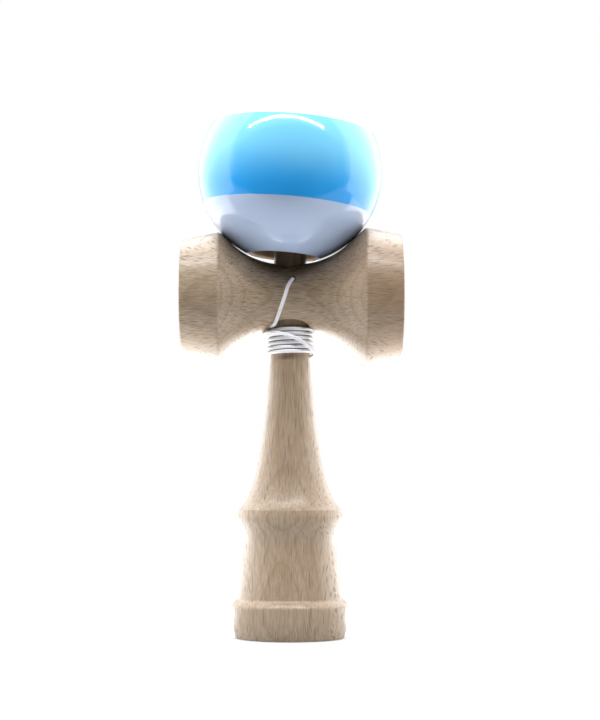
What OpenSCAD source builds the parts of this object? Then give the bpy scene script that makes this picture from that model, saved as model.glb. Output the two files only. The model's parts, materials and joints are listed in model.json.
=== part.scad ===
// Kendama standing on its base cup: a turned handle, a cross-piece with two cups,
// a painted ball seated on the spike, and one string that is wound round the neck.
// Millimetres, +Z up. The origin is the middle of the ring that the base cup stands on,
// and the cross-piece lies along X with its big cup at +X.

/* [Base cup] */
// Widest diameter of the base
base_d = 37.8; // [34:0.1:42]
// Height of the widest line of the base
base_h = 10; // [8:0.1:14]
// Diameter of the base where its side starts, just above the floor
foot_d = 35; // [32:0.1:37]
// Rounding between the floor and the side of the base
foot_round = 0.7; // [0.3:0.1:1.5]
// Wall between the foot's side and the mouth of the base cup
foot_wall = 1.8; // [1.6:0.1:4]
// Depth of the base cup
base_cup_depth = 8; // [5:0.1:9]
// Height of the bevel on top of the base
shoulder_h = 2.3; // [1:0.1:3]

/* [Grip] */
// Diameter of the grip where it rises from the base
grip_d = 33.7; // [30:0.1:36]
// Diameter of the grip's waist
waist_d = 28.8; // [24:0.1:32]
// Height of the grip's waist
waist_z = 29.6; // [24:0.1:33]
// Diameter of the ridge above the waist
ridge_d = 33.8; // [30:0.1:38]
// Height of the ridge's lower edge
ridge_z = 38; // [35:0.1:42]
// Height of the ridge's band
ridge_h = 2.6; // [1.6:0.1:4]

/* [Neck and spike] */
// Diameter of the neck under the cross-piece
neck_d = 12.7; // [11:0.1:14]
// Diameter of the tenon inside the cross-piece
tenon_d = 10.6; // [9:0.1:11.5]
// Diameter of the spike's tip
tip_d = 6.8; // [5:0.1:8]
// Room between the spike's tip and the stop bead
tip_room = 2.7; // [1:0.1:8]

/* [Cross-piece] */
// Height of the cross-piece's axis
sarado_z = 109.3; // [105:0.1:114]
// Diameter of the cross-piece's waist
sarado_waist_d = 20.6; // [19:0.1:22]
// Length of the straight stretch at the waist
waist_run = 4; // [1:0.1:6]
// Radius of the hollow flare between the waist and the flanks
flare_r = 24.7; // [22:0.1:27]
// Slope of the straight flanks that carry the ball, in degrees
flank_angle = 43.3; // [40:0.1:46]
// Distance of the small cup's mouth from the handle's axis
small_reach = 35; // [33:0.1:38]
// Diameter of the edge behind the small cup
small_edge_d = 42; // [39:0.1:44]
// Outer diameter of the small cup's lip
small_lip_d = 37; // [35:0.1:39]
// Depth of the small cup
small_cup_depth = 9; // [6:0.1:11]
// Distance of the big cup's mouth from the handle's axis
big_reach = 36; // [34:0.1:39]
// Diameter of the edge behind the big cup
big_edge_d = 45; // [42:0.1:47]
// Outer diameter of the big cup's lip
big_lip_d = 40.4; // [38:0.1:42]
// Depth of the big cup
big_cup_depth = 10; // [7:0.1:12]
// Wall of the lips round both cups
lip_wall = 1.5; // [1:0.1:3]
// Top of the recess round the neck, below the axis of the cross-piece
recess_drop = 8; // [7:0.1:9]
// Seat of the neck, below the axis of the cross-piece
seat_drop = 4.1; // [3:0.1:6]

/* [Ball] */
// Diameter of the ball
ball_d = 60; // [58:0.1:62]
// Lean of the seated ball towards the big cup, in degrees
ball_lean = 4.5; // [0:0.1:6]
// Diameter of the hole for the spike
socket_d = 21.6; // [19:0.1:24]
// Depth of the hole for the spike, from its rim
socket_depth = 47; // [44:0.5:49]
// Bevel round the rim of that hole
socket_bevel = 0.9; // [0.3:0.1:2]
// Bevel round the string's hole on top
top_bevel = 1.6; // [0.5:0.1:2.5]

/* [String and bead] */
// Diameter of the string's core
string_d = 1; // [0.8:0.05:1.1]
// Room round the string in its holes
string_room = 0.7; // [0.4:0.05:0.9]
// Turns round the neck
turns = 6; // [3:1:6]
// Room between one turn and the next
turn_gap = 0.42; // [0.42:0.01:0.5]
// Diameter of the knots
knot_d = 3.4; // [2.6:0.1:3.6]
// Diameter of the stop bead inside the ball
bead_d = 9; // [7:0.1:12]
// Height of the stop bead
bead_h = 7.5; // [6:0.1:8]
// Room round the knots in their pockets
knot_room = 0.6; // [0.3:0.1:1]

/* [Hidden] */

// Fits and small sizes
cut_over = 1;
tenon_clear = 0.05;
ball_seat_gap = 0.2;
bead_gap = 0.3;
knot_gap = 0.1;
recess_room = 0.5;
wind_room = 1.4;
neck_room = 1.9;
string_break = 0.3;
winding_gap = 0.12;
lip_bevel = 0.6;
bead_round = 1.2;
ridge_round = 0.6;

// The string's hole through the cross-piece, above its axis and off the handle's axis
string_hole_rise = 4.8;
string_hole_x = 1;

// Facets of round shapes
$fn = 96;
tube_sides = 8;
turn_sides = 6;
turn_rings = 24;
curve_steps = 6;
flare_steps = 10;
neck_steps = 18;

// Outline of the handle: shares of each stretch's change of radius and of height
base_shares = [[0.3, 0.3], [0.1, 0.65]];
grip_shares = [[0.6, 0.35], [0.2, 0.75]];
flare_shares = [[0.92, 0.4], [0.59, 0.78]];
neck_shares = [[0.46, 0.09], [0.2, 0.43]];
spike_shares = [[0.9, 0.45], [0.5, 0.8]];
tip_shares = [[1, 0.6], [0.55, 1]];
shoulder_shares = [0.34, 0.52];
ridge_top_share = 0.97;
tip_dome_share = 0.7;

foot_r = foot_d / 2;
base_r = base_d / 2;
grip_r = grip_d / 2;
waist_r = waist_d / 2;
ridge_r = ridge_d / 2;
neck_r = neck_d / 2;
tenon_r = tenon_d / 2;
tip_r = tip_d / 2;
grip_z = base_h + shoulder_h;
ridge_top_z = ridge_z + ridge_h;
ridge_top_r = ridge_r * ridge_top_share;
seat_z = sarado_z - seat_drop;
recess_z = sarado_z - recess_drop;
sarado_waist_r = sarado_waist_d / 2;
spike_z = sarado_z + sarado_waist_r;
tip_dome = tip_r * tip_dome_share;
string_hole_d = string_d + 2 * string_room;
turn_pitch = string_d + turn_gap;
knot_pocket_d = knot_d + 2 * knot_room;
knot_pocket_depth = knot_d + knot_room;

// The winding: a helix that goes from the left of the neck round its back, downwards
wind_r = neck_r + winding_gap + string_d / 2;
wind_top = recess_z - wind_room - string_d / 2;
neck_z = wind_top - turns * turn_pitch - neck_room;
recess_r = wind_r + string_d / 2 + recess_room;

// Radius of the sphere whose cap has this mouth and depth
function cap_r(mouth, depth) = (mouth * mouth / 4 + depth * depth) / (2 * depth);

// A smooth curve between two points; shares place its two guides, counted
// from the end for the radius and from the start for the height
function guide(a, b, share) = [b[0] + (a[0] - b[0]) * share[0], a[1] + (b[1] - a[1]) * share[1]];
function curve_point(a, c, d, b, t) =
    a * pow(1 - t, 3) + c * 3 * t * pow(1 - t, 2) + d * 3 * t * t * (1 - t) + b * pow(t, 3);
function curve(a, b, shares, steps) =
    let (c = guide(a, b, shares[0]), d = guide(a, b, shares[1]))
    [for (i = [0:steps]) curve_point(a, c, d, b, i / steps)];
function arc(centre, r, from, to, steps) =
    [for (i = [0:steps]) let (w = from + (to - from) * i / steps) centre + r * [cos(w), sin(w)]];

// The flare's middle, and where its arc turns into the straight flank: distances from the
// waist's middle and from the cross-piece's axis
flare_at = [waist_run / 2, sarado_waist_r + flare_r];
flank_at = flare_at + flare_r * [sin(flank_angle), -cos(flank_angle)];

// The ball rests on the two flanks, or on the waist if it is small
ball_r = ball_d / 2;
seat_r = ball_r + ball_seat_gap;
flank_seat = flank_at[1] + (seat_r - flank_at[0] * sin(flank_angle)) / cos(flank_angle);
ball_at = [0, 0, sarado_z + max(flank_seat, sarado_waist_r + seat_r)];
ball_up = [sin(ball_lean), 0, cos(ball_lean)];
socket_r = socket_d / 2;
rim_r = socket_r + socket_bevel;
rim_drop = sqrt(ball_r * ball_r - rim_r * rim_r);
socket_top = socket_depth - rim_drop;
bead_top = socket_top - bead_gap;
bead_bottom = bead_top - bead_h;
tail_knot_up = bead_bottom + knot_pocket_depth - knot_gap - knot_d / 2;
tip_z = ball_at[2] + ball_up[2] * bead_bottom - tip_room;

// Outline of the handle, from the middle of its foot up to the spike's tip
ken_outline = concat(
    [[0, 0]],
    arc([foot_r - foot_round, foot_round], foot_round, -90, 0, curve_steps),
    curve([foot_r, foot_round], [base_r, base_h], base_shares, curve_steps),
    [[base_r - (base_r - grip_r) * shoulder_shares[0], base_h + shoulder_h * shoulder_shares[1]]],
    curve([grip_r, grip_z], [waist_r, waist_z], grip_shares, curve_steps),
    curve([waist_r, waist_z], [ridge_r, ridge_z], flare_shares, curve_steps),
    [[ridge_r, ridge_z + ridge_round]],
    curve([ridge_top_r, ridge_top_z], [neck_r, neck_z], neck_shares, neck_steps),
    [[neck_r, seat_z], [tenon_r, seat_z]],
    curve([tenon_r, spike_z], [tip_r, tip_z - tip_dome], spike_shares, curve_steps),
    curve([tip_r, tip_z - tip_dome], [0, tip_z], tip_shares, curve_steps)
);

// One half of the cross-piece's outline, from the waist to the middle of the mouth,
// as distances along its axis and from it
function half_outline(reach, edge_d, lip_d) = concat(
    arc(flare_at, flare_r, -90, flank_angle - 90, flare_steps),
    [[flank_at[0] + (edge_d / 2 - flank_at[1]) / tan(flank_angle), edge_d / 2],
     [reach - lip_bevel, lip_d / 2],
     [reach, lip_d / 2 - lip_bevel],
     [reach, 0]]
);

// The string's anchor, from its knot in the tenon to the front of the cross-piece
string_hole_z = sarado_z + string_hole_rise;
anchor_knot_y = sqrt(tenon_r * tenon_r - pow(string_hole_x + knot_d / 2, 2)) - knot_d / 2;
exit_y = -sqrt(sarado_waist_r * sarado_waist_r - string_hole_rise * string_hole_rise);

// A point of the winding, counted in turns from the left of the neck
function wind_point(t) =
    [-wind_r * cos(360 * t), wind_r * sin(360 * t), wind_top - turn_pitch * t];
wind_step = wind_point(1 / turn_rings) - wind_point(-1 / turn_rings);
wind_way = wind_step / norm(wind_step);
wind_start = wind_point(0) - wind_way * string_d;
wind_end = wind_point(turns) + wind_way * string_d;
wind_route = concat(
    [wind_start],
    [for (i = [0:turns * turn_rings]) wind_point(i / turn_rings)],
    [wind_end]
);

// Route of the lead, from the hole in front down to the left of the neck
lead_route = concat(
    [[string_hole_x, exit_y, string_hole_z], [0.95, -9.9, 114.05], [0.7, -10.7, 113.7],
     [0.2, -11.3, 113], [-0.4, -11.6, 112], [-0.9, -11.7, 110.7], [-1.3, -11.7, 109.4],
     [-1.7, -11.6, 108.1], [-2.15, -11.3, 106.8], [-2.6, -10.9, 105.5], [-3.05, -10.3, 104.3],
     [-3.5, -9.55, 103.1], [-3.95, -8.7, 101.9], [-4.4, -7.7, 100.8], [-4.9, -6.6, 99.9],
     [-5.5, -5.1, 99.5], [-6.25, -3.3, 99.45]],
    [wind_start]
);

// Route of the diagonal strand: behind the neck to the right, then up over the turns in front
crossing_route = concat(
    [wind_end],
    [[-6.2, 3.4, 90.7], [-4.8, 5.4, 90.5], [-2.7, 6.75, 90.3], [-0.3, 7.3, 90.15],
     [2.2, 6.95, 90.1], [4.6, 5.65, 90.1], [6.4, 3.5, 90.1], [7.4, 0.7, 90.2], [7.8, -2.1, 90.75],
     [7.2, -4.15, 91.7], [5.9, -5.9, 92.85], [4.15, -7.2, 94], [2.15, -8, 95.1], [0, -8.3, 96],
     [-2.15, -8, 96.6], [-4.15, -7.2, 97.05], [-5.9, -5.9, 97.35], [-7.2, -4.15, 97.4],
     [-8, -2.15, 97.3], [-8.35, 0, 97.1]]
);

// Route of the riser: up behind the cross-piece and the ball, and down into the hole on top
riser_route = [
    [-8.35, 0, 97.1], [-8, 2.2, 97.2], [-7.2, 4.3, 97.5], [-5.9, 6.2, 98.2], [-4.6, 7.7, 99.4],
    [-3.5, 8.9, 101.3], [-2.6, 10, 103.6], [-1.8, 11.3, 106.1], [-1.2, 12.7, 108.7],
    [-0.7, 14.2, 111.4], [-0.3, 15.7, 114], [0, 17.2, 116.7], [0.3, 18.7, 119.3], [0.6, 20.2, 122],
    [0.8, 21.7, 124.7], [1, 23.2, 127.4], [1.2, 24.7, 130.3], [1.4, 26.1, 133.2],
    [1.5, 27.6, 136.2], [1.5, 28.9, 139.2], [1.6, 29.8, 142.4], [1.6, 30.4, 145.7],
    [1.7, 30.7, 149], [1.7, 30.6, 152.3], [1.8, 30.2, 155.6], [1.8, 29.4, 158.8],
    [1.9, 28.2, 161.9], [1.9, 26.6, 165.1], [2, 24.7, 168], [2, 22.5, 170.7], [2.1, 20, 173.1],
    [2.1, 17.3, 175.2], [2.2, 14.3, 177], [2.2, 11.2, 178.5], [2.3, 8, 179.8], [2.3, 5.3, 180.7],
    [2.4, 3.3, 180.9], [2.4, 1.5, 180.3], [2.3, 0.4, 179],
    ball_at + ball_up * (ball_r - top_bevel - string_d)
];
tail_top = ball_r - top_bevel - string_d - string_break;
tail_route = [for (up = [tail_top, tail_knot_up]) ball_at + ball_up * up];
anchor_route = [for (y = [anchor_knot_y, exit_y]) [string_hole_x, y, string_hole_z]];

// A tube swept along points: each ring keeps the last one's direction
function unit(v) = v / norm(v);
function way(points, i) = unit(points[min(i + 1, len(points) - 1)] - points[max(i - 1, 0)]);
function square_to(v, along) = unit(v - (v * along) * along);
function side_ways(points, first) =
    [for (i = 0, s = square_to(first, way(points, 0)); i < len(points);
          i = i + 1, s = square_to(s, way(points, min(i, len(points) - 1)))) s];
function ring(at, along, side, r, sides) =
    let (other = cross(along, side))
    [for (k = [0:sides - 1]) at + r * (cos(360 * k / sides) * side + sin(360 * k / sides) * other)];
function ring_faces(i, sides) =
    [for (k = [0:sides - 1]) let (a = i * sides + k, b = i * sides + (k + 1) % sides)
        each [[a, a + sides, b], [b, a + sides, b + sides]]];

module tube(points, d, sides, first) {
    last = len(points) - 1;
    side = side_ways(points, first);
    polyhedron(
        points = [for (i = [0:last]) each ring(points[i], way(points, i), side[i], d / 2, sides)],
        faces = concat(
            [for (k = [1:sides - 2]) [0, k, k + 1]],
            [for (i = [0:last - 1]) each ring_faces(i, sides)],
            [for (k = [1:sides - 2]) [last * sides, last * sides + k + 1, last * sides + k]]
        )
    );
}

// Least room between two turns of the winding, on its points half a turn or more apart
wind_gap = min([for (i = [0:len(wind_route) - 1], j = [i + turn_rings / 2:len(wind_route) - 1])
    norm(wind_route[i] - wind_route[j]) - string_d]);
echo(least_gap_between_turns = wind_gap);

// Puts its children in the seated ball's place, with the ball's middle at their origin
module at_ball() {
    translate(ball_at) rotate([0, ball_lean, 0]) children();
}

// Turned handle with its base cup, grip, neck, tenon and spike
module ken() {
    base_cup_r = cap_r(foot_d - 2 * foot_wall, base_cup_depth);
    color("burlywood") difference() {
        rotate_extrude() polygon(ken_outline);
        translate([0, 0, base_cup_depth - base_cup_r]) sphere(base_cup_r);
        translate([string_hole_x, anchor_knot_y, string_hole_z]) {
            rotate([90, 0, 0]) cylinder(d = string_hole_d, h = tenon_d);
            translate([0, -knot_pocket_d / 2, 0]) rotate([-90, 0, 0])
                cylinder(d = knot_pocket_d, h = tenon_d);
        }
    }
}

// One cup's hollow, as a circle in the cross-piece's section
module cup_section(side, reach, lip_d, depth) {
    r = cap_r(lip_d - 2 * lip_wall, depth);
    translate([0, side * (reach - depth + r)]) circle(r);
}

// Cross-piece with the small cup, the big cup and the seat of the handle
module sarado() {
    small_half = half_outline(small_reach, small_edge_d, small_lip_d);
    big_half = half_outline(big_reach, big_edge_d, big_lip_d);
    outline = concat(
        [for (i = [len(small_half) - 1:-1:0]) [small_half[i][1], -small_half[i][0]]],
        [for (p = big_half) [p[1], p[0]]]
    );
    color("tan") difference() {
        translate([0, 0, sarado_z]) rotate([0, 90, 0]) rotate_extrude() difference() {
            polygon(outline);
            cup_section(-1, small_reach, small_lip_d, small_cup_depth);
            cup_section(1, big_reach, big_lip_d, big_cup_depth);
        }
        translate([0, 0, seat_z - cut_over])
            cylinder(r = tenon_r + tenon_clear, h = spike_z - seat_z + 2 * cut_over);
        translate([0, 0, neck_z]) cylinder(r = neck_r + tenon_clear, h = seat_z - neck_z);
        translate([0, 0, neck_z]) cylinder(r = recess_r, h = recess_z - neck_z);
        translate([string_hole_x, 0, string_hole_z]) rotate([90, 0, 0])
            cylinder(d = string_hole_d, h = sarado_waist_r + cut_over);
    }
}

// Painted ball with the spike's hole below and the string's hole on top
module tama() {
    hole_r = string_hole_d / 2;
    color("deepskyblue") at_ball() difference() {
        sphere(ball_r);
        translate([0, 0, -ball_r - cut_over])
            cylinder(r = socket_r, h = ball_r + cut_over + socket_top);
        translate([0, 0, -rim_drop - cut_over])
            cylinder(r1 = rim_r + cut_over, r2 = socket_r, h = cut_over + socket_bevel);
        cylinder(r = hole_r, h = ball_r + cut_over);
        translate([0, 0, ball_r - top_bevel])
            cylinder(r1 = hole_r, r2 = hole_r + top_bevel + cut_over, h = top_bevel + cut_over);
    }
}

// Stop bead with the string's hole and a pocket for the knot
module bead() {
    color("peru") at_ball() rotate_extrude() polygon([
        [string_hole_d / 2, bead_top],
        [bead_d / 2 - bead_round, bead_top],
        [bead_d / 2, bead_top - bead_round],
        [bead_d / 2, bead_bottom + bead_round],
        [bead_d / 2 - bead_round, bead_bottom],
        [knot_pocket_d / 2, bead_bottom],
        [knot_pocket_d / 2, bead_bottom + knot_pocket_depth],
        [string_hole_d / 2, bead_bottom + knot_pocket_depth]
    ]);
}

module anchor_knot() {
    color("whitesmoke") translate([string_hole_x, anchor_knot_y, string_hole_z]) sphere(d = knot_d);
}

module tail_knot() {
    color("whitesmoke") at_ball() translate([0, 0, tail_knot_up]) sphere(d = knot_d);
}

module string_anchor() {
    color("white") tube(anchor_route, string_d, tube_sides, [1, 0, 0]);
}

module string_lead() {
    color("white") tube(lead_route, string_d, tube_sides, [1, 0, 0]);
}

module string_winding() {
    color("white") tube(wind_route, string_d, turn_sides, [0, 0, 1]);
}

module string_crossing() {
    color("white") tube(crossing_route, string_d, tube_sides, [0, 0, 1]);
}

module string_riser() {
    color("white") tube(riser_route, string_d, tube_sides, [1, 0, 0]);
}

module string_tail() {
    color("white") tube(tail_route, string_d, tube_sides, [1, 0, 0]);
}

ken();
sarado();
tama();
bead();
anchor_knot();
string_anchor();
string_lead();
string_winding();
string_crossing();
string_riser();
string_tail();
tail_knot();
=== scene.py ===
"""Looks of a kendama: beech handle and cross-piece, a painted ball on the spike, and a braided string.

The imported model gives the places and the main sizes. Everything is in metres, in the model's frame.
"""

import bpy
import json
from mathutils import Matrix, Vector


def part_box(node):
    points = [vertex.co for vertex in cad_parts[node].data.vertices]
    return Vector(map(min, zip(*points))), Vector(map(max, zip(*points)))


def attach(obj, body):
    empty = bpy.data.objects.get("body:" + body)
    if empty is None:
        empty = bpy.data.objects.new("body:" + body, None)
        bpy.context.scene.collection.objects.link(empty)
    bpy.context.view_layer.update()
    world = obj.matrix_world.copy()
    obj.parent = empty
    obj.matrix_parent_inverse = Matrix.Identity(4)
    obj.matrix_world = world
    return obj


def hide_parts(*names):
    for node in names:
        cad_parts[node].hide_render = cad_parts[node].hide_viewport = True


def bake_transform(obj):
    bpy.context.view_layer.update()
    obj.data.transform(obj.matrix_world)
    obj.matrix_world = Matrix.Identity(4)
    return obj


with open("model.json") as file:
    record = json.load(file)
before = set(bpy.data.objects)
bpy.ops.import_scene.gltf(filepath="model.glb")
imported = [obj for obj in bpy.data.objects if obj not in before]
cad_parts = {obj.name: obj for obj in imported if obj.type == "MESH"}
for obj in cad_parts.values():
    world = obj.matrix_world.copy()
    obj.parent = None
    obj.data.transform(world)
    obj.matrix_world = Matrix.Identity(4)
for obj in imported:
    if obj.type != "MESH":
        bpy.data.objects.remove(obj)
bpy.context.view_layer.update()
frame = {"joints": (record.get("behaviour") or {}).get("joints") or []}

import json
import logging
import math
from dataclasses import dataclass, field
from enum import Enum
from typing import Any, Sequence

import bpy
import numpy as np
from mathutils import Matrix, Vector

LOG = logging.getLogger("kendama")
MM = 0.001

Colour = tuple[float, float, float]
Pair = tuple[float, float]
Point = tuple[float, float, float]
Guides = tuple[Pair, Pair]

ORIGIN: Point = (0.0, 0.0, 0.0)

# The span that holds most of a noise's values
NOISE_SPAN: Pair = (0.2, 0.8)

# The numbers of a Mix node's sockets for colours, because their names come more than once
MIX_A, MIX_B, MIX_RESULT = 6, 7, 2

# The braid's height, stored on its mesh and read by its finish
RELIEF = "relief"

# How fine the meshes are: degrees and least number of an arc's stretches, sides of a drilled hole, and
# the angle in degrees past which an edge is shaded sharp
ARC_STEP = 2.5
LEAST_ARC_STEPS = 6
DRILL_SEGMENTS = 64
SHARP_ANGLE = 34.0

# A point closer to the axis than this lies on it
ON_AXIS = 1e-7


class Grain(Enum):
    """Which way the fibres run: the turn, in degrees, that brings them upright."""

    UPRIGHT = (0.0, 0.0, 0.0)
    ACROSS = (0.0, -90.0, 0.0)


class Surface(Enum):
    """How a wooden surface is finished: roughness, coat weight and coat roughness."""

    SATIN = (0.48, 0.7, 0.3)
    BARE = (0.72, 0.0, 0.5)


class BallSkin(Enum):
    """The ball's two surfaces, by the number of their material."""

    BARE = 0
    PAINTED = 1


# Node trees


class Term:
    """One value in a node tree. Arithmetic on it adds Math nodes to the tree."""

    def __init__(self, graph: "Graph", socket: bpy.types.NodeSocket) -> None:
        """Keeps the tree that the value belongs to and the socket that carries it."""
        self.graph = graph
        self.socket = socket

    def __add__(self, other: "Term | float") -> "Term":
        """This value plus another."""
        return self.graph.math("ADD", self, other)

    __radd__ = __add__

    def __sub__(self, other: "Term | float") -> "Term":
        """This value less another."""
        return self.graph.math("SUBTRACT", self, other)

    def __rsub__(self, other: float) -> "Term":
        """A number less this value."""
        return self.graph.math("SUBTRACT", other, self)

    def __mul__(self, other: "Term | float") -> "Term":
        """This value times another."""
        return self.graph.math("MULTIPLY", self, other)

    __rmul__ = __mul__

    def __truediv__(self, other: "Term | float") -> "Term":
        """This value over another."""
        return self.graph.math("DIVIDE", self, other)

    def __rtruediv__(self, other: float) -> "Term":
        """A number over this value."""
        return self.graph.math("DIVIDE", other, self)


class Graph:
    """Builds one node tree, of a material, the world or a geometry modifier."""

    def __init__(self, tree: bpy.types.NodeTree) -> None:
        """Starts from a tree whose old nodes are dropped."""
        self.tree = tree
        tree.nodes.clear()

    def node(
        self,
        kind: str,
        settings: dict[str, Any] | None = None,
        sockets: dict[str | int, Any] | None = None,
    ) -> bpy.types.Node:
        """Adds a node.

        Args:
            kind: The node's type name.
            settings: Its own properties, which are set first.
            sockets: Values, Terms or sockets for its inputs, by name or by number.

        Returns:
            The new node.
        """
        made = self.tree.nodes.new(kind)
        for name, value in (settings or {}).items():
            setattr(made, name, value)
        for key, value in (sockets or {}).items():
            source = value.socket if isinstance(value, Term) else value
            if isinstance(source, bpy.types.NodeSocket):
                self.tree.links.new(source, made.inputs[key])
            else:
                made.inputs[key].default_value = source
        return made

    def term(self, node: bpy.types.Node, output: str | int = 0) -> Term:
        """One output of a node, as a Term."""
        return Term(self, node.outputs[output])

    def place(self) -> Term:
        """The place of a shaded point, in the frame of its object."""
        return self.term(self.node("ShaderNodeTexCoord"), "Object")

    def math(self, operation: str, *values: Term | float) -> Term:
        """A Math node's result for one or two values."""
        made = self.node("ShaderNodeMath", {"operation": operation}, dict(enumerate(values)))
        return self.term(made)

    def vector(self, operation: str, a: Any, b: Any, output: str = "Vector") -> Term:
        """A Vector Math node's result for two vectors."""
        made = self.node("ShaderNodeVectorMath", {"operation": operation}, {0: a, 1: b})
        return self.term(made, output)

    def scaled(self, place: Term, scale: Point) -> Term:
        """A vector with each of its parts times a number."""
        return self.vector("MULTIPLY", place, scale)

    def split(self, vector: Term) -> tuple[Term, Term, Term]:
        """The three parts of a vector."""
        made = self.node("ShaderNodeSeparateXYZ", sockets={0: vector})
        return self.term(made, 0), self.term(made, 1), self.term(made, 2)

    def join(self, x: Term | float, y: Term | float, z: Term | float) -> Term:
        """A vector from its three parts."""
        return self.term(self.node("ShaderNodeCombineXYZ", sockets={0: x, 1: y, 2: z}))

    def noise(self, place: Term, detail: float = 2.0, roughness: float = 0.5) -> Term:
        """Smooth noise between 0 and 1, with a period of about one unit of its place."""
        sockets = {"Vector": place, "Scale": 1.0, "Detail": detail, "Roughness": roughness}
        return self.term(self.node("ShaderNodeTexNoise", sockets=sockets))

    def shift(self, noise: Term, reach: float) -> Term:
        """A noise turned into a shift about zero, with this reach from end to end."""
        return (noise - 0.5) * reach

    def ramp(self, value: Term, low: float, high: float, to: Pair = (0.0, 1.0)) -> Term:
        """A smooth change from one number to another.

        Args:
            value: What the change follows.
            low: The value that it starts at.
            high: The value that it ends at.
            to: The numbers at its start and at its end.

        Returns:
            The number that belongs to the value.
        """
        made = self.node(
            "ShaderNodeMapRange",
            {"interpolation_type": "SMOOTHSTEP"},
            {0: value, 1: low, 2: high, 3: to[0], 4: to[1]},
        )
        return self.term(made)

    def blend(self, share: Term | float, a: Term | Colour, b: Term | Colour) -> Term:
        """One colour turned into another.

        Args:
            share: How far it is turned, from 0 to 1.
            a: The colour at 0.
            b: The colour at 1.

        Returns:
            The mixed colour.
        """
        one, other = (rgba(colour) if isinstance(colour, tuple) else colour for colour in (a, b))
        made = self.node("ShaderNodeMix", {"data_type": "RGBA"}, {0: share, MIX_A: one, MIX_B: other})
        return self.term(made, MIX_RESULT)

    def bump(self, height: Term, depth: float, strength: float) -> Term:
        """The normal of a relief with this depth."""
        sockets = {"Strength": strength, "Distance": depth, "Height": height}
        return self.term(self.node("ShaderNodeBump", sockets=sockets))

    def seen(self) -> Term:
        """What a ray is sent for.

        Returns:
            1 for what the eye, a reflection or a see-through surface looks at, or else 0.
        """
        path = self.node("ShaderNodeLightPath")
        rays = [self.term(path, f"Is {name} Ray") for name in ("Camera", "Glossy", "Transmission")]
        return self.math("MAXIMUM", self.math("MAXIMUM", rays[0], rays[1]), rays[2])


def alike(value: float) -> Point:
    """The same number three times."""
    return (value, value, value)


def rgba(colour: Colour) -> tuple[float, float, float, float]:
    """A colour with full cover."""
    return (*colour, 1.0)


def new_material(name: str) -> tuple[bpy.types.Material, Graph]:
    """Starts a material.

    Args:
        name: Its name.

    Returns:
        The empty material, and the graph of its nodes.
    """
    material = bpy.data.materials.new(name)
    material.use_nodes = True
    return material, Graph(material.node_tree)


def principled(graph: Graph, sockets: dict[str, Any]) -> None:
    """Ends a material in one Principled shader with these sockets."""
    shader = graph.node("ShaderNodeBsdfPrincipled", sockets=sockets)
    graph.node("ShaderNodeOutputMaterial", sockets={"Surface": shader.outputs[0]})


# Finishes


@dataclass(frozen=True)
class LogPlace:
    """A place in the log that a piece was cut from, in millimetres.

    Attributes:
        round_way: The distance round the log.
        out: The distance from its middle.
        along: The distance along it.
    """

    round_way: Term
    out: Term
    along: Term


@dataclass(frozen=True)
class Streaks:
    """Fine streaks of darker wood, drawn out along the log.

    Attributes:
        across: How many there are in a millimetre across the log.
        along: How many there are in a millimetre along it.
        span: The stretch of their noise in which they come out.
        share: How dark they are.
        detail: How many finer layers their noise has.
        roughness: How strong the finer layers are.
    """

    across: float
    along: float
    span: Pair
    share: float
    detail: float = 2.0
    roughness: float = 0.5

    def noise(self, graph: Graph, log: LogPlace) -> Term:
        """The noise that the streaks come out of."""
        place = graph.join(log.round_way * self.across, log.out * self.across, log.along * self.along)
        return graph.noise(place, self.detail, self.roughness)

    def cover(self, graph: Graph, noise: Term) -> Term:
        """How dark their noise makes a place."""
        return graph.ramp(noise, *self.span) * self.share


@dataclass(frozen=True)
class Flecks:
    """The rays' flecks: thin round the log, deeper towards its middle, longest along it.

    Attributes:
        size: The room of one fleck, in millimetres round the log, out from its middle and along it.
        share: How dark they are.
        layers: The size of each layer beside the first, and the tint that its faintest fleck has.
        tint_step: How much more tint makes a fleck show fully.
        edge: Where a fleck starts and where it is full, in rooms from its middle.
        faint: How strong the later layers are.
    """

    size: Point = (0.34, 2.2, 9.0)
    share: float = 0.62
    layers: tuple[Pair, ...] = ((1.0, 0.15), (0.62, 0.35))
    tint_step: float = 0.4
    edge: Pair = (0.42, 0.2)
    faint: float = 0.6

    def cover(self, graph: Graph, log: LogPlace) -> Term:
        """Finds the flecks.

        Args:
            graph: The material's graph.
            log: The place in the log.

        Returns:
            1 in a fleck, 0 between the flecks.
        """
        wide, deep, long = self.size
        total: Term | None = None
        for scale, tint in self.layers:
            place = graph.join(
                log.round_way / (wide * scale),
                log.out / (deep * scale),
                log.along / (long * scale),
            )
            cells = graph.node("ShaderNodeTexVoronoi", sockets={"Vector": place, "Scale": 1.0})
            colour = graph.node("ShaderNodeSeparateColor", sockets={0: cells.outputs["Color"]})
            spot = graph.ramp(graph.term(cells, "Distance"), *self.edge)
            spot = spot * graph.ramp(graph.term(colour), tint, tint + self.tint_step)
            total = spot if total is None else graph.math("MAXIMUM", total, spot * self.faint)
        return total


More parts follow.
